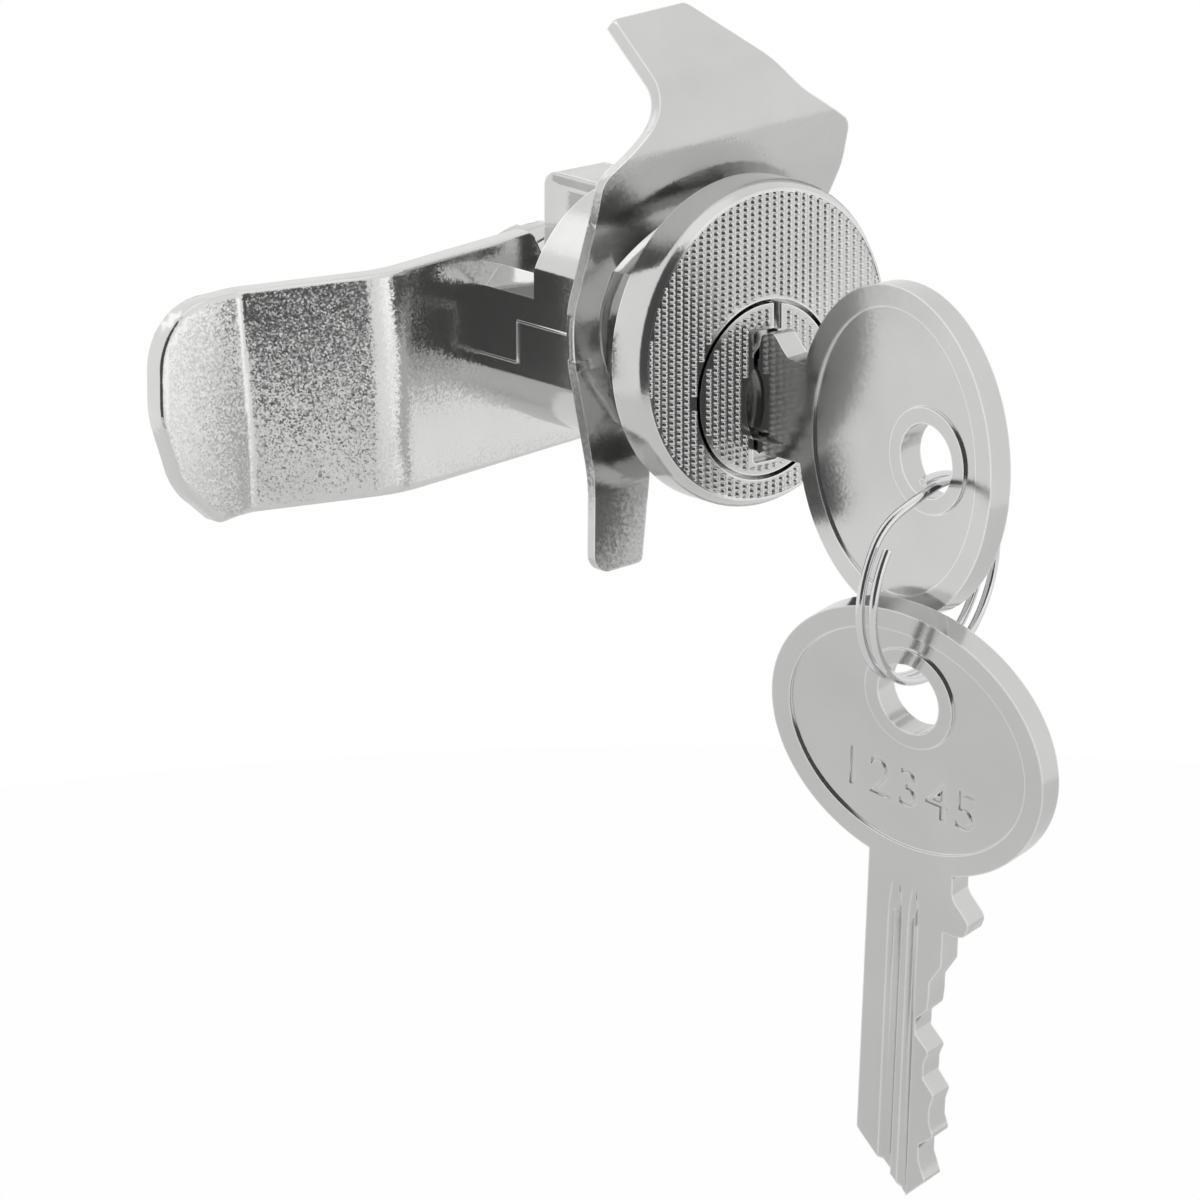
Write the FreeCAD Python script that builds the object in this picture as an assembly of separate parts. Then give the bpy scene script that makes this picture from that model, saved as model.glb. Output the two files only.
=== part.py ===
import FreeCAD, Part
import math
import os

from FreeCAD import Matrix, Placement, Rotation, Vector

# A five-pin mailbox lock: a flanged barrel that a spring clip holds in a door, a plug that
# turns a bent cam, and two keys on a split ring. Millimetres. The origin is the centre of the
# flange's rear face, where it meets the door. X runs to the right as the face is seen, Y into
# the mailbox and Z up.

# Flange and barrel
flange_radius = 11.1
flange_rim = 2.2
flange_bevel = 0.8
flange_face = 0.55
face_lip = 0.15
face_lip_width = 0.15
barrel_radius = 9.0
barrel_half_flats = 8.2
end_wall = 1.8
step_length = 5.0
step_top = 3.1
step_corner = 1.3
tower_half_width = 3.0
tower_drop = 0.3
tower_corner = 0.8
stop_left = -1.4
stop_right = 3.0
stop_bottom = 4.25
stop_top = 8.0
stop_reach = 1.8
stop_corner = 0.3

# Plug
plug_drop = 3.06
plug_radius = 5.5
head_radius = 5.85
head_length = 2.0
head_ring = 0.3
turn_gap = 0.05
end_play = 0.1
tail_radius = 5.0
tail_half_flats = 4.3
tail_length = 6.1
index_offset = 1.02
index_width = 0.7
index_length = 1.9
index_depth = 0.5
recess_half_width = 1.1
recess_bottom = 4.95
recess_top = 4.1
recess_corner = 0.3
recess_depth = 0.6
scoop_radius = 4.8
scoop_half_width = 1.76
scoop_drop = 0.85
scoop_depth = 1.2

# Pin stacks
pin_count = 5
pin_pitch = 3.2
pin_radius = 1.2
pin_slip = 0.05
pin_tip_radius = 0.45
key_pin_crown = 0.25
shear_gap = 0.08
driver_length = 2.4
driver_edge = 0.2
pin_ledge = 1.2
spring_wire = 0.22
spring_turns = 4.5
spring_side_gap = 0.1
spring_end_gap = 0.05
cover_half_width = 1.9
cover_thick = 0.6
cover_front = 0.35
cover_gap = 0.02

# Mounting clip: its front face is a bent line in Y and Z, then half of the outline seen from
# the front, its sides as distances from the barrel's flats, and the hooks under the barrel as
# distances from the barrel and angles from X
clip_thick = 0.75
clip_profile = [(7.9, 21.06, 0), (-0.86, 16.94, 4), (1.3, 9.6, 12), (5.5, 1.2, 5.5),
                (1.5, -7.6, 10), (0.6, -13.9, 0)]
clip_blade = [(3.15, 21.06, 0.6), (6.2, 16.0, 6)]
clip_sides = [(2.7, 12.7, 1.5), (2.7, 9.5, 5), (1.8, 1.0, 12), (4.5, -13.9, 1.1),
              (0.3, -13.9, 0.5)]
clip_roll = 2.5
clip_hook = [(1.5, -49.6, 2), (0.39, -41.3, 0.5)]
clip_hook_top = (-5.4, 0.4)
clip_side_gap = 0.4
clip_arch_gap = 0.55
groove_depth = 0.7
groove_front = 2.2
groove_back = 5.95

# Cam: its front face is a bent line in X and Y, then the outline seen from the front, with
# heights from the plug's axis
cam_thick = 1.6
cam_lean = 4.0
cam_play = 0.2
cam_round_gap = 0.1
cam_bend_in = -16.1
cam_bend_out = -25.2
cam_jog = 4.6
cam_knee_radius = 5.5
cam_bend_radius = 1.3
cam_tip = -32.5
cam_top = 8.15
cam_bottom = -7.3
cam_end_top = (0.6, 4.6)
cam_end_nose = (0.8, 7.0)
cam_end_low = (1.5, 2.7, 5.0)
cam_nib = (4.5, 0.15, 0.8)
cam_nib_root = (6.1, 1.2)
cam_hub_radius = 7.0
cam_lobe_radius = 9.0
cam_corner = 0.7
stop_rest_angle = 15.0
stop_end_angle = 2.0
stop_travel = 90.0

# Washer and nut on the plug's tail
stack_gap = 0.05
washer_radius = 7.0
washer_thick = 1.9
washer_split = 1.2
washer_split_lean = 25.0
nut_radius = 7.0
nut_thick = 2.0
nut_bevel = 0.3
nut_slot_width = 1.7
nut_slot_depth = 0.7
tail_fit = 0.04

# Keys, along the blade from the bow's centre and across towards the cuts; the tip is placed
# along the blade from the last cut; the grooves run out towards the bow in their cutter's curve
key_thick = 1.8
key_seat_gap = 0.2
key_axis_drop = 1.44
bow_half_length = 9.4
bow_half_height = 11.2
bow_rim = 1.5
bow_recess = 0.2
hole_place = -3.2
hole_radius = 2.5
hole_ring_radius = 3.6
neck_start = 6.0
neck_low = -2.6
neck_high = 4.3
neck_lug = [(10.4, 4.3, 1.2), (11.9, 5.85, 0.7), (12.95, 5.45, 0.5)]
key_stop = 13.2
stop_height = 4.6
blade_low = -2.65
blade_high = 3.7
land_end = 15.9
cut_first = 18.1
cut_half_flat = 0.6
cut_heights = [2.8, 1.84, 2.64, 3.3, 2.56]
crest_heights = [2.7, 3.0, 3.6, 3.7]
crest_corner = 0.4
key_tip = [(2.1, 3.2, 0.3), (4.1, 1.4, 0.3), (3.0, 0.75, 0.3), (2.0, -0.5, 0), (0.3, -2.4, 0),
           (0.0, -2.65, 0)]
key_grooves = [(1, -0.8, 0.3), (1, 0.85, 1.65), (-1, -1.9, -1.1)]
key_groove_depth = 0.35
key_groove_draft = 0.25
groove_cutter_radius = 15.0
groove_cutter_sweep = 30.0
groove_full_after_stop = 0.8
key_side_gap = 0.06
key_edge_gap = 0.1

# Split ring: two turns side by side, with one slanted step from turn to turn
ring_radius = 6.9
ring_wire = 0.6
ring_turn_gap = 0.42
ring_step_angle = 50.0
ring_step_start = -65.0
ring_normal = Vector(-0.212, 0.969, 0.124).normalize()
ring_upward = Vector(0.108, -0.103, 0.989)
ring_in_lock_key = (-0.86, -1.1)
ring_in_spare_key = (-0.9, -0.7)
ring_spare_angle = -176.5

# Spare key: the way its blade points and the way its cuts face, as it hangs on the ring
spare_along = Vector(0.137, 0.197, -0.971).normalize()
spare_across = Vector(0.195, -0.966, -0.168).normalize()

# How far cutters start outside what they cut and joined pieces reach into each other, how far
# cutters reach that pass the whole lock, and the distance below which points are one
overlap = 1.0
far = 50.0
same_place = 1e-6

# How the gap between a wound wire's turns is measured: on this many points, leaving out those
# nearer along the wire than this many wire radii
gap_points = 400
gap_skip = 8

# Sizes that follow
plug_z = -plug_drop
face_y = -flange_rim - flange_bevel
field_y = face_y + face_lip
field_radius = flange_radius - flange_face
shear_z = plug_z + plug_radius
head_back = face_y + head_length
key_y = face_y - key_seat_gap - key_stop
key_z = plug_z - key_axis_drop
cut_last = cut_first + (pin_count - 1) * pin_pitch
pin_places = [key_y + cut_first + index * pin_pitch for index in range(pin_count)]
barrel_end = pin_places[-1] + end_wall
step_start = barrel_end - step_length
tail_end = barrel_end + tail_length
tower_top = barrel_radius - tower_drop
chamber_radius = pin_radius + pin_slip
chamber_top = tower_top - cover_thick
driver_base = shear_z + shear_gap
driver_top = driver_base + driver_length
cam_front = barrel_end + end_play
cam_back = cam_front + cam_thick
washer_front = cam_back + stack_gap
washer_back = washer_front + washer_thick
nut_front = washer_back + stack_gap
nut_back = nut_front + nut_thick
lock_key_hang = Vector(0, key_y + hole_place + ring_in_lock_key[0], key_z + ring_in_lock_key[1])
ring_spoke = (ring_upward - ring_normal * ring_upward.dot(ring_normal)).normalize()
ring_centre = lock_key_hang - ring_spoke * ring_radius
spare_spoke = Rotation(ring_normal, ring_spare_angle).multVec(ring_spoke)
spare_hang = ring_centre + spare_spoke * ring_radius
spare_hole = spare_hang - spare_along * ring_in_spare_key[0] - spare_across * ring_in_spare_key[1]
spare_centre = spare_hole - spare_along * hole_place


def flat_wire(corners, place, closed=True):
    """Join corners (a, b, radius) by lines and arcs; place turns (a, b) into a point."""
    count = len(corners)
    runs = []
    for index, (a, b, radius) in enumerate(corners):
        here = Vector(a, b, 0)
        before = Vector(*corners[index - 1][:2], 0)
        after = Vector(*corners[(index + 1) % count][:2], 0)
        at_end = not closed and index in (0, count - 1)
        if radius == 0 or at_end:
            runs.append((here, None, here))
            continue
        back = (before - here).normalize()
        ahead = (after - here).normalize()
        half_angle = back.getAngle(ahead) / 2
        reach = radius / math.tan(half_angle)
        inward = (back + ahead).normalize()
        middle = here + inward * (radius / math.sin(half_angle) - radius)
        runs.append((here + back * reach, middle, here + ahead * reach))
    edges = []
    for index, (start, middle, end) in enumerate(runs):
        if index > 0 or closed:
            leave = runs[index - 1][2]
            if leave.distanceToPoint(start) > same_place:
                edges.append(Part.LineSegment(place(leave), place(start)).toShape())
        if middle is not None:
            edges.append(Part.Arc(place(start), place(middle), place(end)).toShape())
    return edges


def prism(edges, along):
    """Fill a closed run of edges and push the face along a vector."""
    return Part.Face(Part.Wire(edges)).extrude(along)


def front_view(y):
    """Place (x, z) corners on the plane at y."""
    return lambda point: Vector(point.x, y, point.y)


def side_view(x):
    """Place (y, z) corners on the plane at x."""
    return lambda point: Vector(x, point.x, point.y)


def top_view(z):
    """Place (x, y) corners on the plane at z."""
    return lambda point: Vector(point.x, point.y, z)


def rod(radius, start, end, x=0.0, z=0.0):
    """A cylinder along Y."""
    return Part.makeCylinder(radius, end - start, Vector(x, start, z), Vector(0, 1, 0))


def post(radius, low, high, y):
    """A cylinder along Z on the middle plane."""
    return Part.makeCylinder(radius, high - low, Vector(0, y, low))


def block(x_span, y_span, z_span):
    """A box between three pairs of limits."""
    sizes = [span[1] - span[0] for span in (x_span, y_span, z_span)]
    return Part.makeBox(*sizes, Vector(x_span[0], y_span[0], z_span[0]))


def lathe(profile, x=0.0, z=0.0):
    """Turn (radius, y) corners about an axis along Y."""
    points = [Vector(x + radius, y, z) for radius, y in profile]
    face = Part.Face(Part.makePolygon(points + points[:1]))
    return face.revolve(Vector(x, 0, z), Vector(0, 1, 0), 360)


def offset_line(corners, thickness):
    """Shift an open bent line sideways, with each bend's radius kept concentric."""
    points = [Vector(a, b, 0) for a, b, radius in corners]
    normals = []
    for start, end in zip(points, points[1:]):
        along = (end - start).normalize()
        normals.append(Vector(-along.y, along.x, 0))
    shifted = []
    for index, (a, b, radius) in enumerate(corners):
        before = normals[max(index - 1, 0)]
        after = normals[min(index, len(normals) - 1)]
        middle = (before + after).normalize()
        moved = points[index] + middle * (thickness / middle.dot(after))
        turn = before.x * after.y - before.y * after.x
        new_radius = radius - math.copysign(1, turn) * thickness if radius else 0
        shifted.append((moved.x, moved.y, new_radius))
    return shifted


def bent_sheet(corners, thickness, place, along):
    """A sheet of even thickness whose section follows a bent line."""
    near = flat_wire(corners, place, closed=False)
    back = flat_wire(offset_line(corners, thickness), place, closed=False)
    first = Part.LineSegment(near[0].Vertexes[0].Point, back[0].Vertexes[0].Point).toShape()
    last = Part.LineSegment(near[-1].Vertexes[-1].Point, back[-1].Vertexes[-1].Point).toShape()
    return prism(Part.sortEdges(near + back + [first, last])[0], along)


def biarc(start, start_way, end, end_way):
    """Two arcs that leave start and reach end in the given ways."""
    chord = end - start
    ways = start_way + end_way
    square = 2 * (1 - start_way.dot(end_way))
    across = chord.dot(ways)
    if square < same_place ** 2:
        length = chord.dot(chord) / (4 * chord.dot(end_way))
    else:
        root = math.sqrt(across ** 2 + 2 * (1 - start_way.dot(end_way)) * chord.dot(chord))
        length = (root - across) / square
    joint = (start + end + (start_way - end_way) * length) * 0.5
    return [arc_from(start, start_way, joint), arc_from(end, end_way * -1, joint, True)]


def arc_from(start, way, end, backwards=False):
    """The arc from start, leaving in a given way, to end."""
    chord = end - start
    swing = chord.getAngle(way)
    if swing < same_place:
        points = (end, start) if backwards else (start, end)
        return Part.LineSegment(*points).toShape()
    inward = (chord - way * chord.dot(way)).normalize()
    radius = chord.Length / (2 * math.sin(swing))
    centre = start + inward * radius
    half_turn = (start - centre) * math.cos(swing) + way * (radius * math.sin(swing))
    points = (end, centre + half_turn, start) if backwards else (start, centre + half_turn, end)
    return Part.Arc(*points).toShape()


def wound_tube(stations, wire_radius):
    """One unbroken round wire through stations (point, way)."""
    edges = []
    for (start, start_way), (end, end_way) in zip(stations, stations[1:]):
        edges += biarc(start, start_way, end, end_way)
    spine = Part.Wire(edges)
    points = spine.discretize(Number=gap_points)
    skip = math.ceil(gap_skip * wire_radius * gap_points / spine.Length)
    print(f"least gap between turns {least_gap(points, skip) - 2 * wire_radius:.3f} mm")
    start, way = stations[0]
    section = Part.Wire(Part.makeCircle(wire_radius, start, way))
    return spine.makePipeShell([section], True, False)


def least_gap(points, skip):
    """The least distance between points of a line that are at least skip points apart."""
    return min(points[first].distanceToPoint(points[second])
               for first in range(len(points))
               for second in range(first + skip, len(points)))


def coil(radius, pitch, turns, wire_radius):
    """A helical wire about Z that starts at height zero."""
    climb = pitch / (2 * math.pi)
    stations = []
    for step in range(round(turns * 4) + 1):
        angle = step * math.pi / 2
        point = Vector(radius * math.cos(angle), radius * math.sin(angle), climb * angle)
        way = Vector(-radius * math.sin(angle), radius * math.cos(angle), climb).normalize()
        stations.append((point, way))
    return wound_tube(stations, wire_radius)


def turned(shape, angle):
    """Turn a shape about the plug's axis, counter-clockwise as the face is seen."""
    result = shape.copy()
    result.rotate(Vector(0, 0, plug_z), Vector(0, -1, 0), angle)
    return result


def step_cutter():
    """What is cut from the top of the barrel behind its full section, beside the tower."""
    corner = barrel_half_flats
    slope = step_top - step_corner
    outline = [(-far, slope, 0), (-corner, slope, 0), (-corner + step_corner, step_top, 0),
               (corner - step_corner, step_top, 0), (corner, slope, 0), (far, slope, 0),
               (far, far, 0), (-far, far, 0)]
    return prism(flat_wire(outline, front_view(step_start)), Vector(0, far, 0))


def make_housing():
    """The flange and barrel in one casting, with the bore, the pin chambers and the stop."""
    field_step = field_radius - face_lip_width
    flange = lathe([(0, 0), (flange_radius, 0), (flange_radius, -flange_rim),
                    (field_radius, face_y), (field_step, face_y), (field_step, field_y),
                    (0, field_y)])
    barrel = rod(barrel_radius, 0, barrel_end)
    flats = block((-barrel_half_flats, barrel_half_flats), (0, barrel_end),
                  (-barrel_radius, barrel_radius))
    barrel = barrel.common(flats).cut(step_cutter())
    tower_outline = [(-tower_half_width, 0, 0), (tower_half_width, 0, 0),
                     (tower_half_width, tower_top, tower_corner),
                     (-tower_half_width, tower_top, tower_corner)]
    tower = prism(flat_wire(tower_outline, front_view(step_start - overlap)),
                  Vector(0, barrel_end - step_start + overlap, 0))
    stop_outline = [(stop_left, stop_bottom, 0), (stop_right, stop_bottom, 0),
                    (stop_right, stop_top, stop_corner), (stop_left, stop_top, stop_corner)]
    stop = prism(flat_wire(stop_outline, front_view(barrel_end - overlap)),
                 Vector(0, stop_reach + overlap, 0))
    body = flange.fuse(barrel).fuse(tower).fuse(stop)
    body = body.cut(rod(plug_radius + turn_gap, -far, far, z=plug_z))
    body = body.cut(rod(head_radius + head_ring, -far, head_back + turn_gap, z=plug_z))
    for y in pin_places:
        body = body.cut(post(chamber_radius, plug_z, far, y))
    slot = block((-cover_half_width - cover_gap, cover_half_width + cover_gap),
                 (cover_front, far), (chamber_top, far))
    body = body.cut(slot.cut(rod(flange_radius, face_y, 0)))
    for side in (-1, 1):
        x_span = sorted((side * (barrel_half_flats - groove_depth), side * far))
        body = body.cut(block(x_span, (groove_front, groove_back), (-far, far)))
    return body.removeSplitter()


def groove_corners(side, low, high, gap=0.0):
    """A key groove's section, or with a gap the section of the ward that runs in it."""
    inner = side * (key_thick / 2 - key_groove_depth + gap)
    outer = side * (key_thick / 2 + key_groove_depth)
    return [(outer, low - key_groove_draft + gap, 0), (inner, low + key_groove_draft + gap, 0),
            (inner, high - key_groove_draft - gap, 0), (outer, high + key_groove_draft - gap, 0)]


def keyway():
    """The warded slot for the blade, as long as the plug."""
    low = key_z + blade_low - key_edge_gap
    high = key_z + blade_high + key_edge_gap
    half = key_thick / 2 + key_side_gap
    slot = block((-half, half), (-far, far), (low, high))
    for side, bottom, top in key_grooves:
        corners = groove_corners(side, key_z + bottom, key_z + top, key_side_gap)
        ward = prism(flat_wire(corners, front_view(field_y + recess_depth)), Vector(0, far, 0))
        slot = slot.cut(ward)
    return slot


def make_plug():
    """The turning core, with its head, keyway, pin holes and flatted tail."""
    body = rod(head_radius, field_y, head_back, z=plug_z)
    body = body.fuse(rod(plug_radius, head_back - overlap, cam_front, z=plug_z))
    tail = rod(tail_radius, cam_front - overlap, tail_end, z=plug_z)
    flats = block((-tail_half_flats, tail_half_flats), (cam_front - overlap, tail_end),
                  (plug_z - tail_radius, plug_z + tail_radius))
    body = body.fuse(tail.common(flats))
    recess = [(-recess_half_width, plug_z - recess_bottom, recess_corner),
              (recess_half_width, plug_z - recess_bottom, recess_corner),
              (recess_half_width, plug_z + recess_top, recess_corner),
              (-recess_half_width, plug_z + recess_top, recess_corner)]
    body = body.cut(prism(flat_wire(recess, front_view(face_y)),
                          Vector(0, field_y + recess_depth - face_y, 0)))
    scoop_centre = scoop_radius - scoop_half_width
    scoop = [rod(scoop_radius, face_y, field_y + scoop_depth, x, plug_z - scoop_drop)
             for x in (-scoop_centre, scoop_centre)]
    body = body.cut(scoop[0].common(scoop[1]))
    body = body.cut(keyway())
    for y in pin_places:
        body = body.cut(post(chamber_radius, key_z + pin_ledge, far, y))
    index_bottom = plug_z + head_radius - index_length
    body = body.cut(block((index_offset - index_width / 2, index_offset + index_width / 2),
                          (face_y, field_y + index_depth), (index_bottom, far)))
    return body.removeSplitter()


def make_key_pin(index):
    """A pin with a coned tip in the key's cut and a crowned top under the plug's surface."""
    tip = key_z + cut_heights[index] + pin_slip
    top = shear_z - shear_gap
    cone = pin_radius - pin_tip_radius
    profile = [(0, tip), (pin_tip_radius, tip), (pin_radius, tip + cone),
               (pin_radius, top - key_pin_crown), (pin_radius - key_pin_crown, top), (0, top)]
    return upright(profile, pin_places[index])


def upright(profile, y):
    """Turn (radius, z) corners about a vertical axis on the middle plane."""
    points = [Vector(radius, y, z) for radius, z in profile]
    face = Part.Face(Part.makePolygon(points + points[:1]))
    return face.revolve(Vector(0, y, 0), Vector(0, 0, 1), 360)


def make_driver_pin(index):
    """A pin in the housing that the plug's surface holds up when the plug is turned."""
    profile = [(0, driver_base), (pin_radius - driver_edge, driver_base),
               (pin_radius, driver_base + driver_edge), (pin_radius, driver_top - driver_edge),
               (pin_radius - driver_edge, driver_top), (0, driver_top)]
    return upright(profile, pin_places[index])


def make_pin_spring(index):
    """The coil between a driver pin and the cover."""
    height = chamber_top - driver_top - spring_wire - 2 * spring_end_gap
    radius = pin_radius - spring_side_gap - spring_wire / 2
    pitch = height / spring_turns
    spring = coil(radius, pitch, spring_turns, spring_wire / 2)
    foot = driver_top + spring_wire / 2 + spring_end_gap
    spring.translate(Vector(0, pin_places[index], foot))
    return spring


def make_chamber_cover():
    """The strip that closes the five chambers."""
    return block((-cover_half_width, cover_half_width),
                 (cover_front + cover_gap, barrel_end), (chamber_top, tower_top))


def on_circle(radius, angle):
    """A corner at an angle from X, in the front view."""
    turn = math.radians(angle)
    return radius * math.cos(turn), radius * math.sin(turn)


def make_mounting_clip():
    """The bent spring fork that slides into the barrel's grooves behind the door."""
    sheet = bent_sheet(clip_profile, clip_thick, side_view(-far), Vector(2 * far, 0, 0))
    inner = barrel_half_flats - groove_depth + clip_side_gap
    arch_radius = barrel_radius + clip_arch_gap
    right = clip_blade + [(barrel_half_flats + x, z, radius) for x, z, radius in clip_sides]
    for gap, angle, radius in clip_hook:
        right.append((*on_circle(barrel_radius + gap, angle), radius))
    right.append((inner, *clip_hook_top))
    left = [(-x, z, radius) for x, z, radius in reversed(right)]
    spring_height = math.sqrt(arch_radius ** 2 - inner ** 2)
    outline = flat_wire(right + [(inner, spring_height, 0), (-inner, spring_height, 0)] + left,
                        front_view(-far))
    blank = prism(outline, Vector(0, 2 * far, 0))
    arch = rod(arch_radius, -far, far)
    upper = block((-far, far), (-far, far), (spring_height, far))
    mouth = block((-inner, inner), (-far, far), (0, spring_height + overlap))
    blank = blank.cut(arch.common(upper)).cut(mouth.common(arch))
    clip = sheet.common(blank).removeSplitter()
    clip.rotate(Vector(0, 0, 0), Vector(0, -1, 0), clip_roll)
    return clip


def is_post(edge, left, top):
    """Whether an edge runs along Y at a given height, between left and the middle plane."""
    box = edge.BoundBox
    level = box.XLength < same_place and box.ZLength < same_place
    return level and left < box.XMin < 0 and abs(box.ZMin - top) < same_place


def make_cam():
    """The bent latch plate: arm, offset end, hub lobe and the notch that meets the stop."""
    stop_low = stop_bottom - plug_z
    rest_edge = math.degrees(math.atan2(stop_low, stop_left)) + stop_rest_angle - cam_lean
    end_edge = math.degrees(math.atan2(stop_low, stop_right)) - stop_travel
    end_edge -= stop_end_angle + cam_lean
    arm = [(0, cam_top, 0), (cam_tip + cam_end_top[0], cam_top, cam_end_top[1]),
           (cam_tip, *cam_end_nose),
           (cam_tip + cam_end_low[0], cam_bottom + cam_end_low[1], cam_end_low[2]),
           (cam_tip + cam_nib[0], cam_bottom - cam_nib[1], cam_nib[2]),
           (cam_tip + cam_nib_root[0], cam_bottom, cam_nib_root[1]), (0, cam_bottom, 0)]
    arm = [(x, plug_z + z, radius) for x, z, radius in arm]
    deep = Vector(0, 2 * far, 0)
    plate = prism(flat_wire(arm, front_view(-far)), deep)
    lobe = rod(cam_lobe_radius, -far, far, z=plug_z)
    height = block((-cam_lobe_radius, cam_lobe_radius), (-far, far),
                   (plug_z + cam_bottom, plug_z + cam_top))
    plate = plate.fuse(lobe.common(height))
    corners = [on_circle(reach, angle) for reach, angle in
               ((0, 0), (far, end_edge), (far, (rest_edge + end_edge) / 2), (far, rest_edge))]
    notch = prism(flat_wire([(x, plug_z + z, 0) for x, z in corners], front_view(-far)), deep)
    hub = rod(cam_hub_radius, -far, far, z=plug_z)
    plate = plate.cut(notch)
    tops = [edge for edge in plate.Edges if is_post(edge, -cam_lobe_radius, plug_z + cam_top)]
    plate = plate.makeFillet(cam_corner, tops).fuse(hub)
    bends = [(far, cam_front, 0), (cam_bend_in, cam_front, cam_knee_radius + cam_thick),
             (cam_bend_out, cam_front + cam_jog, cam_bend_radius),
             (-far, cam_front + cam_jog, 0)]
    sheet = bent_sheet(bends, -cam_thick, top_view(-far), Vector(0, 0, 2 * far))
    cam = sheet.common(plate)
    hole = rod(tail_radius + cam_round_gap, -far, far, z=plug_z)
    half = tail_half_flats + cam_play
    flats = block((-half, half), (-far, far), (-far, far))
    cam = turned(cam, cam_lean).cut(turned(hole.common(flats), cam_lean))
    return cam.removeSplitter()


def make_lock_washer():
    """The split spring washer between the cam and the nut."""
    ring = rod(washer_radius, washer_front, washer_back, z=plug_z)
    ring = ring.cut(rod(tail_radius + cam_round_gap, washer_front, washer_back, z=plug_z))
    split = block((-washer_split / 2, washer_split / 2), (-far, far), (-far, plug_z))
    middle = Vector(0, (washer_front + washer_back) / 2, plug_z)
    split.rotate(middle, Vector(0, 0, 1), washer_split_lean)
    return ring.cut(split)


def make_cam_nut():
    """The slotted round nut on the threaded tail."""
    bevelled = nut_radius - nut_bevel
    bore = tail_radius + tail_fit
    nut = lathe([(bore, nut_front), (bevelled, nut_front), (nut_radius, nut_front + nut_bevel),
                 (nut_radius, nut_back - nut_bevel), (bevelled, nut_back), (bore, nut_back)],
                z=plug_z)
    for angle in (0, 90):
        slot = block((-far, far), (nut_back - nut_slot_depth, far),
                     (plug_z - nut_slot_width / 2, plug_z + nut_slot_width / 2))
        nut = nut.cut(turned(slot, angle))
    return nut


def key_edge():
    """The cut edge of the blade, from the stop round the tip."""
    corners = [(key_stop, blade_high, 0), (land_end, blade_high, 0)]
    for index, height in enumerate(cut_heights):
        centre = cut_first + index * pin_pitch
        corners += [(centre - cut_half_flat, height, 0), (centre + cut_half_flat, height, 0)]
        if index < len(crest_heights):
            corners.append((centre + pin_pitch / 2, crest_heights[index], crest_corner))
    return corners + [(cut_last + s, v, radius) for s, v, radius in key_tip]


def key_groove(side, low, high):
    """What a disc cutter takes from the blade, in the key's own frame."""
    corners = groove_corners(side, low, high)
    start = key_stop + groove_full_after_stop
    section = Part.Face(Part.Wire(flat_wire(corners, lambda point: Vector(start, point.y, point.x))))
    axle = Vector(start, 0, side * (key_thick / 2 - key_groove_depth + groove_cutter_radius))
    run_out = section.revolve(axle, Vector(0, 1, 0), side * groove_cutter_sweep)
    return section.extrude(Vector(far, 0, 0)).fuse(run_out)


def make_key():
    """A key in its own frame: X along the blade, Y towards the cuts, Z through it."""
    half = key_thick / 2
    oval = Part.Ellipse(Vector(0, 0, -half), bow_half_height, bow_half_length)
    bow = Part.Wire(oval.toShape())
    bow.rotate(Vector(0, 0, 0), Vector(0, 0, 1), 90)
    body = Part.Face(bow).extrude(Vector(0, 0, key_thick))
    shank = [(neck_start, neck_low, 0), (neck_start, neck_high, 0)] + neck_lug
    shank += [(key_stop, stop_height, 0)]
    shank += key_edge()
    shank.append((key_stop, blade_low, 0))
    flat = lambda point: Vector(point.x, point.y, -half)
    body = body.fuse(prism(flat_wire(shank, flat), Vector(0, 0, key_thick)))
    for side, low, high in key_grooves:
        body = body.cut(key_groove(side, low, high))
    inner = Part.Ellipse(Vector(0, 0, 0), bow_half_height - bow_rim, bow_half_length - bow_rim)
    inner_wire = Part.Wire(inner.toShape())
    inner_wire.rotate(Vector(0, 0, 0), Vector(0, 0, 1), 90)
    hole_at = Vector(hole_place, 0, -far)
    eye = Part.makeCylinder(hole_ring_radius, 2 * far, hole_at)
    for side in (-1, 1):
        pocket = Part.Face(inner_wire).extrude(Vector(0, 0, side * far))
        skin = Part.Face(inner_wire).extrude(Vector(0, 0, side * (half - bow_recess)))
        body = body.cut(pocket.cut(skin).cut(eye))
    hole = Part.makeCylinder(hole_radius, 2 * far, hole_at)
    return body.cut(hole).removeSplitter()


def placed(shape, origin, along, across):
    """Move a shape so that its X and Y run the given ways from origin."""
    x_way = Vector(along).normalize()
    z_way = x_way.cross(across).normalize()
    y_way = z_way.cross(x_way)
    frame = Matrix(x_way.x, y_way.x, z_way.x, origin.x,
                   x_way.y, y_way.y, z_way.y, origin.y,
                   x_way.z, y_way.z, z_way.z, origin.z,
                   0, 0, 0, 1)
    result = shape.copy()
    result.Placement = Placement(frame)
    return result


def make_lock_key():
    """The key in the lock, cuts up."""
    return placed(make_key(), Vector(0, key_y, key_z), Vector(0, 1, 0), Vector(0, 0, 1))


def make_spare_key():
    """The spare key on the ring."""
    return placed(make_key(), spare_centre, spare_along, spare_across)


def ring_stations():
    """Points and ways along the ring's wire, in the ring's own frame."""
    pitch = ring_wire + ring_turn_gap
    places = []
    free = 360.0 - ring_step_angle
    for turn_side, first in ((1, ring_step_angle), (-1, 360.0 + ring_step_angle)):
        for quarter in range(5):
            places.append((first + free * quarter / 4, turn_side * pitch / 2))
    stations = []
    for angle, side in places:
        turn = math.radians(ring_step_start + angle)
        point = Vector(ring_radius * math.cos(turn), ring_radius * math.sin(turn), side)
        stations.append((point, Vector(-math.sin(turn), math.cos(turn), 0)))
    return stations


def make_split_ring():
    """Two turns of wire through both keys' holes."""
    ring = wound_tube(ring_stations(), ring_wire / 2)
    return placed(ring, ring_centre, ring_spoke, ring_normal.cross(ring_spoke))


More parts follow.
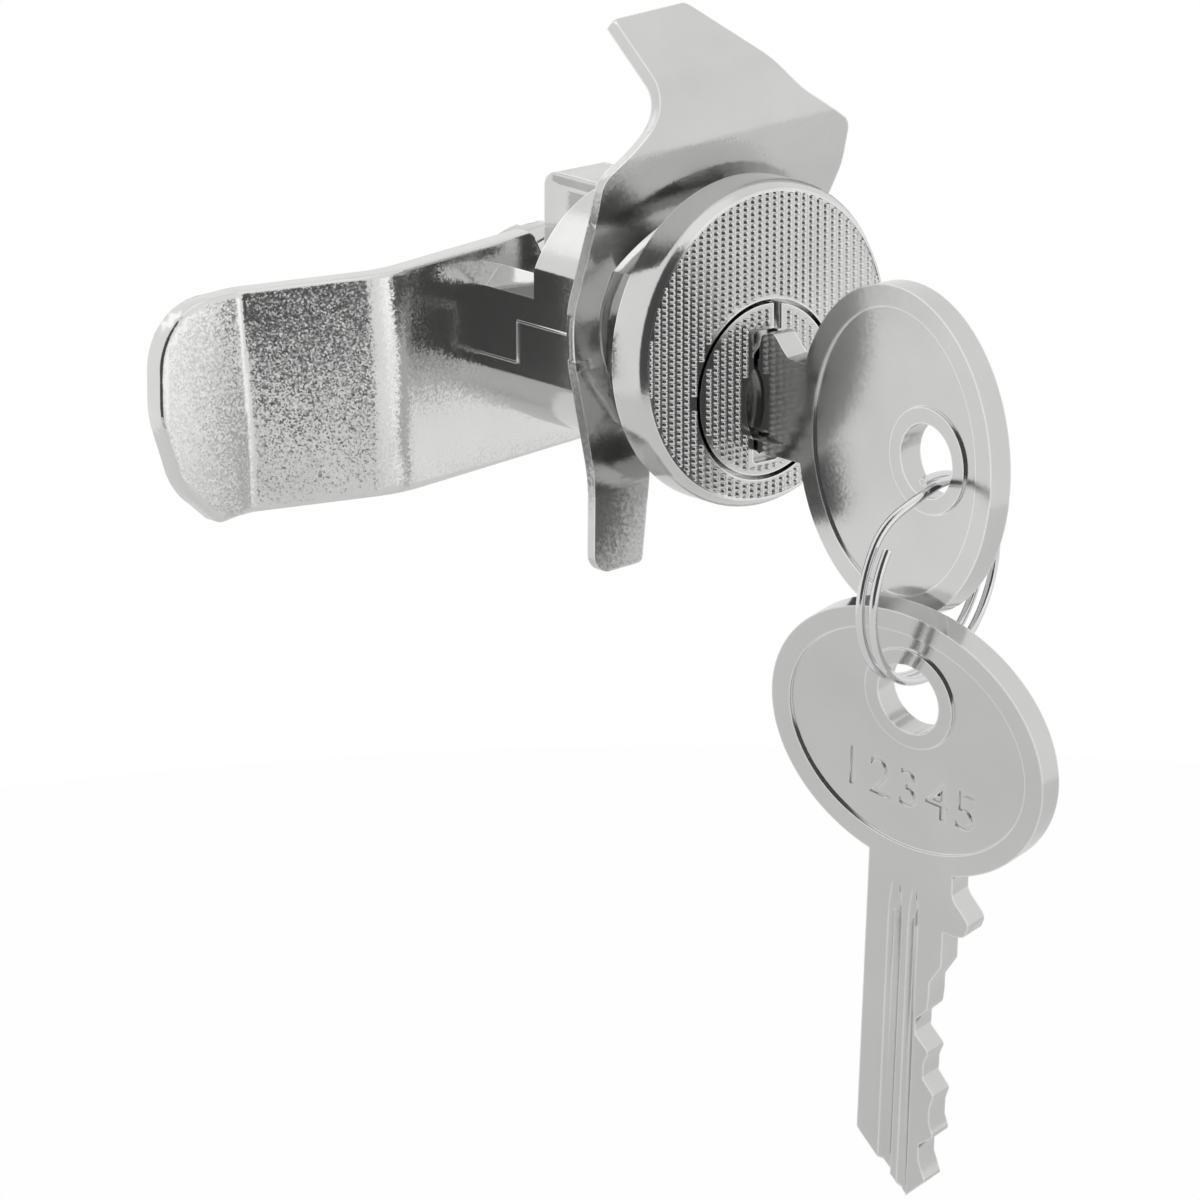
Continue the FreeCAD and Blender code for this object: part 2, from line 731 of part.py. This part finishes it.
def save(name, shape):
    """Write one node."""
    shape.exportStep(f"parts/{name}.step")
    print(f"{name}: {len(shape.Solids)} solid, valid {shape.isValid()}, {shape.Volume:.2f} mm3")


os.makedirs("parts", exist_ok=True)
save("housing", make_housing())
save("plug", make_plug())
for number in range(pin_count):
    save(f"key_pin_{number + 1}", make_key_pin(number))
    save(f"driver_pin_{number + 1}", make_driver_pin(number))
    save(f"pin_spring_{number + 1}", make_pin_spring(number))
save("chamber_cover", make_chamber_cover())
save("mounting_clip", make_mounting_clip())
save("cam", make_cam())
save("lock_washer", make_lock_washer())
save("cam_nut", make_cam_nut())
save("lock_key", make_lock_key())
save("spare_key", make_spare_key())
save("split_ring", make_split_ring())
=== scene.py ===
import math

import bmesh
import bpy
from mathutils import Matrix, Vector


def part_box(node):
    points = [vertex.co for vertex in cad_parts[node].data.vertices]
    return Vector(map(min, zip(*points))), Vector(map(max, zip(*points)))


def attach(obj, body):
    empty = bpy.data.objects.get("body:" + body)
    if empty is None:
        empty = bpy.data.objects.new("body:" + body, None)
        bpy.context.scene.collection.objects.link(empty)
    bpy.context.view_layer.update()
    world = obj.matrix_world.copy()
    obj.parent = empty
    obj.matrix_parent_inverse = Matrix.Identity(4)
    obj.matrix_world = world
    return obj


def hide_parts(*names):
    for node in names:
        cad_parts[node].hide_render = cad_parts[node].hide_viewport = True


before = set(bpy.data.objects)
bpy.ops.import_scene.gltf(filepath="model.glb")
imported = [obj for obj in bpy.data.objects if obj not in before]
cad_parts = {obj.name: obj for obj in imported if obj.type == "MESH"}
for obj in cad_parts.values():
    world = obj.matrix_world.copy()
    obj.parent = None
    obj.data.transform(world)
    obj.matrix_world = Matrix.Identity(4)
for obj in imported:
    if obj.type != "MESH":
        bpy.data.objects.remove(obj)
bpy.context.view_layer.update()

mm = 0.001
weld = 1e-7      # vertices nearer than this are one


def linear(hexColour):
    channels = [int(hexColour[i:i + 2], 16) / 255 for i in (1, 3, 5)]
    return [c / 12.92 if c <= 0.04045 else ((c + 0.055) / 1.055) ** 2.4 for c in channels] + [1.0]


def addNode(tree, kind, inputs=None, **settings):
    node = tree.nodes.new(kind)
    for key, value in settings.items():
        setattr(node, key, value)
    for key, value in (inputs or {}).items():
        if isinstance(value, bpy.types.NodeSocket):
            tree.links.new(value, node.inputs[key])
        else:
            node.inputs[key].default_value = value
    return node


# camera: matched to the photograph's flange, barrel and clip; a long lens from the front left
view = {
    "place": Vector((-452.039, -508.848, 171.386)) * mm,
    "right": Vector((0.75648, -0.65401, 0.0)),
    "up": Vector((0.17551, 0.20301, 0.96332)),
    "lens": 315.97,
    "sensor": 36.0,
    "clip": (0.01, 20),
}


def setCamera():
    data = bpy.data.cameras.new("camera")
    data.lens = view["lens"]
    data.sensor_width = view["sensor"]
    data.clip_start, data.clip_end = view["clip"]
    camera = bpy.data.objects.new("camera", data)
    back = view["right"].cross(view["up"])
    turn = Matrix((view["right"], view["up"], back)).transposed().to_4x4()
    camera.matrix_world = Matrix.Translation(view["place"]) @ turn
    bpy.context.scene.collection.objects.link(camera)
    bpy.context.scene.camera = camera


# the metal reflects a white tent, bright soft boxes and the dark room behind the camera;
# the camera itself sees plain white behind the lock
studio = {
    "level": 0.95,             # strength of the tent's light
    "walls": [(0.0, 0.90), (0.3, 1.0), (0.8, 1.0), (1.0, 0.95)],   # greys from straight down to straight up
    "room": [                  # the room's four edges: a way, and where the dark starts and is full along it
        ((-0.76, -0.04, 0.65), -0.03, 0.05),        # above the table's edge
        ((-0.60, -0.20, -0.77), -0.38, -0.26),      # below the lamps
        ((0, -1, 0), 0.02, 0.25),                   # in front of the lock
        ((-0.914, 0.305, -0.268), -0.12, -0.04),    # left of the side wall
    ],
    "roomGrey": 0.085,
    "boxes": [                 # soft boxes: azimuth, height, full and faded reach in degrees, grey
        (-161, 40, 6, 18, 1.4),
        (14, -8, 4, 14, 1.35),
    ],
    "lamp": {"place": (-0.05, -0.12, 0.7), "size": 0.6, "power": 0.15},
    "floorDrop": 12 * mm,      # floor below the spare key's tip
    "floorRadius": 0.14,
    "floorSides": 64,
    "floorColour": "#F4F4F4",
    "floorGlow": 0.95,         # how much of the floor shows the camera plain white; the rest keeps the shadow
}


def wayTo(azimuth, elevation):
    turn, rise = math.radians(azimuth), math.radians(elevation)
    return Vector((math.sin(turn) * math.cos(rise), -math.cos(turn) * math.cos(rise), math.sin(rise)))


def setWorld():
    world = bpy.data.worlds.new("tent")
    bpy.context.scene.world = world
    world.use_nodes = True
    tree = world.node_tree
    tree.nodes.clear()
    where = addNode(tree, "ShaderNodeTexCoord").outputs["Generated"]

    def maskAlong(way, low, high):
        spot = addNode(tree, "ShaderNodeVectorMath", {0: where, 1: way}, operation="DOT_PRODUCT")
        mask = addNode(tree, "ShaderNodeMapRange", {0: spot.outputs["Value"], 1: low, 2: high},
                       interpolation_type="SMOOTHSTEP")
        return mask.outputs[0]

    def painted(shade, mask, grey):
        mix = addNode(tree, "ShaderNodeMix", {0: mask, 6: shade, 7: (grey, grey, grey, 1)},
                      data_type="RGBA")
        return mix.outputs[2]

    split = addNode(tree, "ShaderNodeSeparateXYZ", {0: where})
    height = addNode(tree, "ShaderNodeMapRange", {0: split.outputs["Z"], 1: -1.0, 2: 1.0})
    walls = addNode(tree, "ShaderNodeValToRGB", {0: height.outputs[0]})
    stops = walls.color_ramp.elements
    stops.remove(stops[-1])
    for number, (place, grey) in enumerate(studio["walls"]):
        stop = stops.new(place) if number else stops[0]
        stop.position = place
        stop.color = (grey, grey, grey, 1)

    edges = [maskAlong(*edge) for edge in studio["room"]]
    room = edges[0]
    for edge in edges[1:]:
        room = addNode(tree, "ShaderNodeMath", {0: room, 1: edge}, operation="MULTIPLY").outputs[0]
    shade = painted(walls.outputs["Color"], room, studio["roomGrey"])
    for azimuth, elevation, full, faded, grey in studio["boxes"]:
        reach = [math.cos(math.radians(angle)) for angle in (faded, full)]
        shade = painted(shade, maskAlong(wayTo(azimuth, elevation), *reach), grey)

    paths = addNode(tree, "ShaderNodeLightPath")
    tent = addNode(tree, "ShaderNodeBackground", {0: shade, 1: studio["level"]})
    plain = addNode(tree, "ShaderNodeBackground", {0: (1, 1, 1, 1), 1: 1.0})
    choice = addNode(tree, "ShaderNodeMixShader",
                     {0: paths.outputs["Is Camera Ray"], 1: tent.outputs[0], 2: plain.outputs[0]})
    addNode(tree, "ShaderNodeOutputWorld", {0: choice.outputs[0]})


def setFloor():
    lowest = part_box("spare_key")[0].z - studio["floorDrop"]
    shape = bmesh.new()
    bmesh.ops.create_circle(shape, cap_ends=True, segments=studio["floorSides"],
                            radius=studio["floorRadius"], matrix=Matrix.Translation((0, 0, lowest)))
    mesh = bpy.data.meshes.new("floor")
    shape.to_mesh(mesh)
    shape.free()
    floor = bpy.data.objects.new("floor", mesh)
    bpy.context.scene.collection.objects.link(floor)
    paper = bpy.data.materials.new("whitePaper")      # matt white card, nearly plain white to the camera
    paper.use_nodes = True
    tree = paper.node_tree
    tree.nodes.clear()
    card = addNode(tree, "ShaderNodeBsdfDiffuse", {"Color": linear(studio["floorColour"])})
    glow = addNode(tree, "ShaderNodeEmission", {"Color": (1, 1, 1, 1), "Strength": 1.0})
    paths = addNode(tree, "ShaderNodeLightPath")
    share = addNode(tree, "ShaderNodeMath", {0: paths.outputs["Is Camera Ray"], 1: studio["floorGlow"]},
                    operation="MULTIPLY")
    both = addNode(tree, "ShaderNodeMixShader", {0: share.outputs[0], 1: card.outputs[0], 2: glow.outputs[0]})
    addNode(tree, "ShaderNodeOutputMaterial", {"Surface": both.outputs[0]})
    mesh.materials.append(paper)


def setLamp():
    lamp = studio["lamp"]
    data = bpy.data.lights.new("topLamp", "AREA")
    data.shape = "DISK"
    data.size = lamp["size"]
    data.energy = lamp["power"]
    hung = bpy.data.objects.new("topLamp", data)
    hung.location = lamp["place"]
    hung.rotation_euler = Vector(lamp["place"]).to_track_quat("Z", "Y").to_euler()
    bpy.context.scene.collection.objects.link(hung)


# what all the metals share: clouds in their tone and gloss, and a painted highlight on their edges,
# a thin pale line of white mixed into the colour where the surface rounds off
skin = {
    "cloudDetail": 4.0, "cloudLow": 0.3, "cloudHigh": 0.7,
    "highlightReach": 0.2 * mm, "highlightSamples": 4, "highlightStart": 0.985, "highlightFull": 0.88, "highlightColour": "#FFFFFF",
}


# clouds and crystals: scale counts them to the metre, so 260 makes clouds 4 mm wide and 6500 crystals
# 0.15 mm wide, coarser than real ones so that they show; tilt leans each crystal's normal at random
def platedMetal(name, colour, roughness, clouds, crystals, recessShade=None):
    material = bpy.data.materials.new(name)
    material.use_nodes = True
    tree = material.node_tree
    tree.nodes.clear()
    where = addNode(tree, "ShaderNodeTexCoord").outputs["Object"]
    normal = addNode(tree, "ShaderNodeNewGeometry").outputs["Normal"]

    # painted highlight: white goes into the base colour where the bevel's normal turns away from the
    # surface's own, along each edge
    eased = addNode(tree, "ShaderNodeBevel", {"Radius": skin["highlightReach"]}, samples=skin["highlightSamples"])
    turned = addNode(tree, "ShaderNodeVectorMath", {0: normal, 1: eased.outputs[0]},
                     operation="DOT_PRODUCT")
    edgeHighlight = addNode(tree, "ShaderNodeMapRange",
                     {0: turned.outputs["Value"], 1: skin["highlightStart"], 2: skin["highlightFull"]})
    platingAndHighlight = addNode(tree, "ShaderNodeMix", {0: edgeHighlight.outputs[0], 6: linear(colour),
                                              7: linear(skin["highlightColour"])}, data_type="RGBA")

    cloud = addNode(tree, "ShaderNodeTexNoise", {"Vector": where, "Scale": clouds["scale"],
                                                 "Detail": skin["cloudDetail"]})
    spread = {0: cloud.outputs[0], 1: skin["cloudLow"], 2: skin["cloudHigh"]}
    tone = addNode(tree, "ShaderNodeMapRange", {**spread, 3: clouds["dark"], 4: 1.0})
    gloss = addNode(tree, "ShaderNodeMapRange", {**spread, 3: roughness + clouds["rough"], 4: roughness})
    share = tone.outputs[0]
    # painted shade: the colour darkens from just behind the face inwards, where the keyway and ring gap lie
    # in shadow, and returns to plain on the tail
    if recessShade:
        depth = addNode(tree, "ShaderNodeSeparateXYZ", {0: where}).outputs["Y"]
        dark = addNode(tree, "ShaderNodeMapRange", {0: depth, 1: recessShade["start"], 2: recessShade["full"],
                                                    3: 1.0, 4: recessShade["grey"]})
        clear = addNode(tree, "ShaderNodeMapRange", {0: depth, 1: recessShade["fade"], 2: recessShade["end"]})
        either = addNode(tree, "ShaderNodeMath", {0: dark.outputs[0], 1: clear.outputs[0]},
                         operation="MAXIMUM")
        share = addNode(tree, "ShaderNodeMath", {0: share, 1: either.outputs[0]},
                        operation="MULTIPLY").outputs[0]
    base = addNode(tree, "ShaderNodeMix", {0: share, 6: (0, 0, 0, 1), 7: platingAndHighlight.outputs[2]},
                   data_type="RGBA")

    cells = addNode(tree, "ShaderNodeTexVoronoi", {"Vector": where, "Scale": crystals["scale"]})
    lean = addNode(tree, "ShaderNodeVectorMath", {0: cells.outputs["Color"], 1: (0.5, 0.5, 0.5)},
                   operation="SUBTRACT")
    tilt = addNode(tree, "ShaderNodeVectorMath", {0: lean.outputs[0], "Scale": crystals["tilt"]},
                   operation="SCALE")
    tipped = addNode(tree, "ShaderNodeVectorMath", {0: normal, 1: tilt.outputs[0]}, operation="ADD")
    facing = addNode(tree, "ShaderNodeVectorMath", {0: tipped.outputs[0]}, operation="NORMALIZE")
    shader = addNode(tree, "ShaderNodeBsdfPrincipled", {
        "Base Color": base.outputs[2], "Metallic": 1.0, "Roughness": gloss.outputs[0],
        "Normal": facing.outputs[0]})
    addNode(tree, "ShaderNodeOutputMaterial", {"Surface": shader.outputs[0]})
    return material


# nickel on a zinc casting: satin, faintly cloudy
castNickel = platedMetal("castNickel", "#D6D6D5", 0.14, {"scale": 260, "dark": 0.94, "rough": 0.05},
                         {"scale": 6500, "tilt": 0.03})
# bright zinc on rolled steel, with the strongest crystals: it sparkles where it reflects the dark room
camSteel = platedMetal("camSteel", "#DEDEDD", 0.12, {"scale": 180, "dark": 0.95, "rough": 0.05},
                       {"scale": 8500, "tilt": 0.07})
# zinc on spring steel, a little duller
clipSteel = platedMetal("clipSteel", "#D4D4D3", 0.17, {"scale": 160, "dark": 0.93, "rough": 0.06},
                        {"scale": 6500, "tilt": 0.04})
# the plug's nickel, with painted shade: darkened in the keyway and the ring gap, clean again on its tail
plugNickel = platedMetal("plugNickel", "#D2D2D1", 0.16, {"scale": 260, "dark": 0.93, "rough": 0.06},
                         {"scale": 6500, "tilt": 0.03},
                         recessShade={"start": -2.45 * mm, "full": -1.6 * mm, "grey": 0.3,
                               "fade": 12.5 * mm, "end": 15.0 * mm})
# nickel silver keys: smooth, with broad faint clouds from handling
keySilver = platedMetal("keySilver", "#D3D3D2", 0.13, {"scale": 110, "dark": 0.92, "rough": 0.06},
                        {"scale": 6500, "tilt": 0.015})
# drawn chromed wire, nearly a mirror
ringChrome = platedMetal("ringChrome", "#DEDEDE", 0.10, {"scale": 300, "dark": 0.96, "rough": 0.04},
                         {"scale": 8000, "tilt": 0.03})
# turned brass pins, yellow, only seen when the lock is opened
turnedBrass = platedMetal("turnedBrass", "#D9BC72", 0.22, {"scale": 300, "dark": 0.93, "rough": 0.08},
                          {"scale": 8000, "tilt": 0.05})
# bare spring wire, greyer
springWire = platedMetal("springWire", "#C9C9C6", 0.20, {"scale": 400, "dark": 0.94, "rough": 0.08},
                         {"scale": 8000, "tilt": 0.05})
# zinc on the small steel parts: washer, nut and cover strip, dull and sandy
zincSteel = platedMetal("zincSteel", "#D3D3D2", 0.20, {"scale": 220, "dark": 0.93, "rough": 0.08},
                        {"scale": 6500, "tilt": 0.10})

finishes = {
    "housing": castNickel, "plug": plugNickel, "cam": camSteel, "mounting_clip": clipSteel,
    "lock_key": keySilver, "spare_key": keySilver, "split_ring": ringChrome,
    "chamber_cover": zincSteel, "lock_washer": zincSteel, "cam_nut": zincSteel,
}
for number in range(1, 6):
    finishes[f"key_pin_{number}"] = turnedBrass
    finishes[f"driver_pin_{number}"] = turnedBrass
    finishes[f"pin_spring_{number}"] = springWire
for node, finish in finishes.items():
    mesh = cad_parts[node].data
    mesh.materials.clear()
    mesh.materials.append(finish)
print("finishes", len(finishes))


def shadeEvenly(piece):
    even = piece.modifiers.new("evenShading", "WEIGHTED_NORMAL")     # flats stay flat beside roundings
    even.keep_sharp = True
    even.weight = 100


def addPiece(name, shape, body, finish, smoothAngle=35):
    mesh = bpy.data.meshes.new(name)
    shape.normal_update()
    shape.to_mesh(mesh)
    shape.free()
    for face in mesh.polygons:
        face.use_smooth = True
    mesh.set_sharp_from_angle(angle=math.radians(smoothAngle))
    mesh.materials.append(finish)
    piece = bpy.data.objects.new(name, mesh)
    bpy.context.scene.collection.objects.link(piece)
    shadeEvenly(piece)
    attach(piece, body)
    print(name, len(mesh.polygons))
    return piece


def addBlock(shape, middle, size):
    place = Matrix.Translation(middle) @ Matrix.Diagonal((*size, 1))
    bmesh.ops.create_cube(shape, size=1.0, matrix=place)


def roundEdges(shape, width, angle=35, steps=2):
    sharp = [edge for edge in shape.edges
             if edge.is_manifold and edge.is_convex and edge.calc_face_angle() > math.radians(angle)]
    bmesh.ops.bevel(shape, geom=sharp, offset=width, affect="EDGES", profile=0.5,
                    segments=steps, material=-1, clamp_overlap=True)


# CAD nodes that get rounded edges: name of the piece, body, slot, rounding in mm
dressed = {
    "housing": ("castHousing", "housing", "die_cast", 0.06),
    "plug": ("turningPlug", "plug", "plug_metal", 0.05),
    "cam": ("latchCam", "plug", "cam_steel", 0.25),
    "mounting_clip": ("springClip", "housing", "spring_steel", 0.12),
    "lock_key": ("workingKey", "lock_key", "key_metal", 0.06),
    "spare_key": ("spareKey", "spare_key", "key_metal", 0.06),
    "cam_nut": ("slottedNut", "plug", "fastener_steel", 0.1),
    "lock_washer": ("splitWasher", "plug", "fastener_steel", 0.1),
    "chamber_cover": ("coverStrip", "housing", "fastener_steel", 0.06),
}
flatAngle = 0.5      # faces of a CAD node that turn less than this, in degrees, become one


def cleanCopy(node):
    shape = bmesh.new()
    shape.from_mesh(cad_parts[node].data)
    bmesh.ops.remove_doubles(shape, verts=shape.verts, dist=weld)
    bmesh.ops.dissolve_limit(shape, angle_limit=math.radians(flatAngle), verts=shape.verts,
                             edges=shape.edges, delimit=set())
    return shape


# the stamped cam is not quite flat: it rises across its middle, and its end is a dome that drops back
crown = {
    "rise": 0.22, "domeStart": -25.3, "domeEnd": -32.5, "domeTilt": 0.075, "domeDrop": 0.2, "pull": 0.45,
    "slice": 0.8,      # new edges this far apart let the plate bend
}


def sliceUp(shape, axis, low, high, step):
    place = low + step
    while place < high:
        point, normal = Vector((0, 0, 0)), Vector((0, 0, 0))
        point[axis], normal[axis] = place, 1
        bmesh.ops.bisect_plane(shape, geom=shape.verts[:] + shape.edges[:] + shape.faces[:],
                               plane_co=point, plane_no=normal, dist=weld)
        place += step


def crownCam(shape):
    low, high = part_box("cam")
    step = crown["slice"] * mm
    domeStart, domeEnd = crown["domeStart"] * mm, crown["domeEnd"] * mm
    sliceUp(shape, 2, low.z, high.z, step)
    sliceUp(shape, 0, domeEnd, domeStart + step, step)
    middle, half = (low.z + high.z) / 2, (high.z - low.z) / 2
    for vertex in shape.verts:
        vertex.co.y -= crown["rise"] * mm * (1 - ((vertex.co.z - middle) / half) ** 2)
        out = max(0, domeStart - vertex.co.x)
        share = out / (domeStart - domeEnd)
        vertex.co.y += crown["domeTilt"] * out + crown["domeDrop"] * mm * share ** 2
        vertex.co.x += crown["pull"] * mm * share


for node, (name, body, slotName, rounding) in dressed.items():
    shape = cleanCopy(node)
    roundEdges(shape, rounding * mm)
    if node == "cam":
        crownCam(shape)
    piece = addPiece(name, shape, body, finishes[node])
    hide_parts(node)

# the face is coined with upright rows of small beads, on the flange and on the plug alike;
# they are lower and broader towards the right; all in mm, from the flange's centre
beads = {
    "columnStep": 0.65, "columnShift": 0.25, "rowStep": 0.42,
    "width": 0.54, "length": 0.42, "shortest": 0.15, "bevel": 0.07,
    "height": 0.26, "shallow": 0.11, "topLeft": 0.3, "topRight": 0.5, "topAlong": 0.88,
    "fieldY": -2.85, "sink": 0.03,                             # the coined field; beads root in it
    "outer": 10.42, "ringOuter": 6.35, "ringInner": 5.55,      # the flange's lip and the plug's ring gap
    "plugDrop": 3.06,                                          # the plug's axis below the flange's
    "slotHalf": 1.25, "slotLow": -5.15, "slotHigh": 4.3,       # kept clear on the plug: the recess,
    "indexLeft": 0.5, "indexRight": 1.55, "indexLow": 3.6,     # the index mark
    "scoopRadius": 4.95, "scoopCentre": 3.04, "scoopDrop": 0.85,      # and the scoop for the key
}


def chord(radius, across):
    return math.sqrt(radius ** 2 - across ** 2) if radius > abs(across) else None


def clearOf(runs, low, high):
    kept = []
    for first, last in runs:
        kept += [(first, min(last, low)), (max(first, high), last)]
    return [(first, last) for first, last in kept if last - first > beads["shortest"]]


def flangeRuns(x):
    reach = chord(beads["outer"], x)
    runs = [(-reach, reach)] if reach else []
    inner = chord(beads["ringOuter"], x)
    if inner:
        runs = clearOf(runs, -beads["plugDrop"] - inner, -beads["plugDrop"] + inner)
    return runs


def plugRuns(x):
    reach = chord(beads["ringInner"], x)
    if not reach:
        return []
    middle, half = -beads["plugDrop"], beads["width"] / 2
    runs = [(middle - reach, middle + reach)]
    if abs(x) < beads["slotHalf"] + half:
        runs = clearOf(runs, middle + beads["slotLow"], middle + beads["slotHigh"])
    scoop = chord(beads["scoopRadius"], abs(x) - half + beads["scoopCentre"])
    if scoop:
        runs = clearOf(runs, middle - beads["scoopDrop"] - scoop, middle - beads["scoopDrop"] + scoop)
    if beads["indexLeft"] - half < x < beads["indexRight"] + half:
        runs = clearOf(runs, middle + beads["indexLow"], middle + beads["ringOuter"])
    return runs


def beadSpans(low, high):
    row = math.floor(low / beads["rowStep"])
    while row * beads["rowStep"] < high:
        first = max(low, row * beads["rowStep"])
        last = min(high, row * beads["rowStep"] + beads["length"])
        if last - first >= beads["shortest"]:
            yield first, last
        row += 1


def acrossFace(x, left, right):
    return left + (right - left) * (x / beads["outer"] + 1) / 2


def addBeads(name, runsAt, body, finish):
    shape = bmesh.new()
    count = int(beads["outer"] / beads["columnStep"])
    for column in range(-count, count + 1):
        x = (column + beads["columnShift"]) * beads["columnStep"]
        height = acrossFace(x, beads["height"], beads["shallow"]) + beads["sink"]
        y = beads["fieldY"] + beads["sink"] - height / 2
        for low, high in runsAt(x):
            for first, last in beadSpans(low, high):
                size = Vector((beads["width"], height, last - first))
                addBlock(shape, Vector((x, y, (first + last) / 2)) * mm, size * mm)
    for face in [face for face in shape.faces if face.normal.y < -0.9]:      # the tops are narrower
        middle = face.calc_center_median()
        across = acrossFace(middle.x / mm, beads["topLeft"], beads["topRight"])
        for vertex in face.verts:
            vertex.co.x = middle.x + (vertex.co.x - middle.x) * across
            vertex.co.z = middle.z + (vertex.co.z - middle.z) * beads["topAlong"]
    front = (beads["fieldY"] - beads["shallow"] / 2) * mm
    rims = [edge for edge in shape.edges if min(vertex.co.y for vertex in edge.verts) < front]
    bmesh.ops.bevel(shape, geom=rims, offset=beads["bevel"] * mm, affect="EDGES", profile=0.5,
                    segments=1, material=-1, clamp_overlap=True)
    addPiece(name, shape, body, finish, smoothAngle=80)


addBeads("flangeBeads", flangeRuns, "housing", castNickel)
addBeads("plugBeads", plugRuns, "plug", plugNickel)

# the die left a thin raised line on the barrel's flats, stepped where the slides met; in mm
partingLine = {
    "flat": 8.2, "width": 0.22, "height": 0.13, "round": 0.09, "roundAngle": 60, "roundSteps": 3,
    "route": [(6.1, 0.0), (12.95, 0.0), (12.95, -2.9), (16.25, -2.9)],      # along Y and Z
}


def addPartingLine():
    shape = bmesh.new()
    route, width = partingLine["route"], partingLine["width"]
    for side in (-1, 1):
        for (startY, startZ), (endY, endZ) in zip(route, route[1:]):
            middle = Vector((side * partingLine["flat"], (startY + endY) / 2, (startZ + endZ) / 2))
            size = Vector((2 * partingLine["height"], abs(endY - startY) + width,
                           abs(endZ - startZ) + width))
            addBlock(shape, middle * mm, size * mm)
    roundEdges(shape, partingLine["round"] * mm, partingLine["roundAngle"], partingLine["roundSteps"])
    addPiece("partingLine", shape, "housing", castNickel)


addPartingLine()

# the spare key's number: plain digits pressed into its near face, one by one; in mm
stamp = {
    "text": "12345", "height": 2.9, "pitch": 2.35, "depth": 0.13, "curveSteps": 4, "weld": 1e-4,
    "bowCentre": (-1.1995, -19.0039, -23.2959),
    "along": Vector((0.137, 0.197, -0.971)).normalized(),       # along the blade
    "across": Vector((0.195, -0.966, -0.168)).normalized(),     # the way the number reads
    "alongShift": 3.75, "acrossShift": 0.25, "skin": 0.7,       # from the bow's centre to the sunk face
}


def digitCutter(digit, shift):
    curve = bpy.data.curves.new("digit", "FONT")
    curve.body = digit
    curve.align_x, curve.align_y = "CENTER", "CENTER"
    curve.resolution_u = stamp["curveSteps"]
    curve.extrude = 0.5
    drawn = bpy.data.objects.new("digit", curve)
    shape = bmesh.new()
    shape.from_mesh(bpy.data.meshes.new_from_object(drawn))
    bpy.data.objects.remove(drawn)
    bmesh.ops.remove_doubles(shape, verts=shape.verts, dist=stamp["weld"])
    bmesh.ops.recalc_face_normals(shape, faces=shape.faces)
    right, up = stamp["across"], -stamp["along"]
    out = right.cross(up)
    place = Vector(stamp["bowCentre"]) + stamp["along"] * stamp["alongShift"] \
        + right * (stamp["acrossShift"] + shift) + out * stamp["skin"]
    turn = Matrix((right, up, out)).transposed().to_4x4()
    tall = max(vertex.co.y for vertex in shape.verts) - min(vertex.co.y for vertex in shape.verts)
    size = stamp["height"] / tall * mm
    scale = Matrix.Diagonal((size, size, 2 * stamp["depth"] * mm, 1))
    bmesh.ops.transform(shape, verts=shape.verts, matrix=Matrix.Translation(place * mm) @ turn @ scale)
    mesh = bpy.data.meshes.new("digit")
    shape.to_mesh(mesh)
    shape.free()
    cutter = bpy.data.objects.new("digit", mesh)
    bpy.context.scene.collection.objects.link(cutter)
    return cutter


def pressNumber(piece):
    piece.modifiers.clear()
    middle = (len(stamp["text"]) - 1) / 2
    for place, digit in enumerate(stamp["text"]):
        cutter = digitCutter(digit, (place - middle) * stamp["pitch"])
        dent = piece.modifiers.new("dent", "BOOLEAN")
        dent.object = cutter
        dent.solver = "EXACT"
        dent.use_self = True
        bpy.context.view_layer.update()
        dented = piece.evaluated_get(bpy.context.evaluated_depsgraph_get())
        pressed = bpy.data.meshes.new_from_object(dented)
        piece.modifiers.clear()
        piece.data = pressed
        bpy.data.objects.remove(cutter)
        print("pressed", digit, len(pressed.polygons))
    shadeEvenly(piece)


pressNumber(bpy.data.objects["spareKey"])

setCamera()
setWorld()
setFloor()
setLamp()
bpy.context.scene.view_settings.view_transform = "Standard"
print("studio set")
